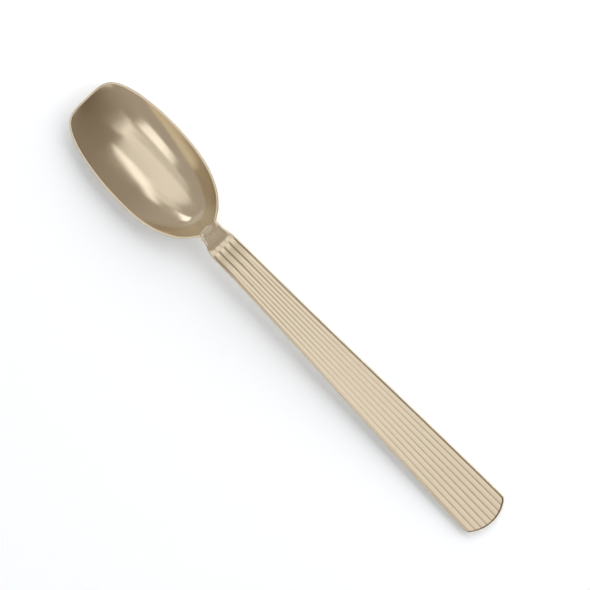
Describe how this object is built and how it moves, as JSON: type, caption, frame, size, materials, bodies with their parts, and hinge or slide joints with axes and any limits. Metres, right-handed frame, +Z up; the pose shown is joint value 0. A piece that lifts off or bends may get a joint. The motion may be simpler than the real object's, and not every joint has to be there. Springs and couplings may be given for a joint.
{
  "type": "salad serving spoon",
  "caption": "Long serving spoon with a deep, narrow bowl squared off at the tip, a pinched neck, and a hollow fluted handle that widens to a rounded end.",
  "frame": {"origin": "middle of the spoon's length and width, on the surface it lies on", "axes": "+X from the bowl's tip toward the handle's end, +Y across the spoon, +Z up out of the bowl"},
  "size_m": [0.25, 0.0412, 0.0151],
  "materials": {
    "bowl_metal": "satin, champagne gold",
    "face_metal": "satin, champagne gold",
    "back_metal": "satin, champagne gold",
    "seam_braze_metal": "ground flush and coated",
    "neck_braze_metal": "ground flush and coated",
    "cement": "rough"
  },
  "bodies": {
    "root": {"bowl": "bowl_metal", "handle_face_shell": "face_metal", "handle_back_shell": "back_metal", "handle_seam_braze": "seam_braze_metal", "neck_braze": "neck_braze_metal", "handle_cement": "cement"}
  },
  "joints": []
}
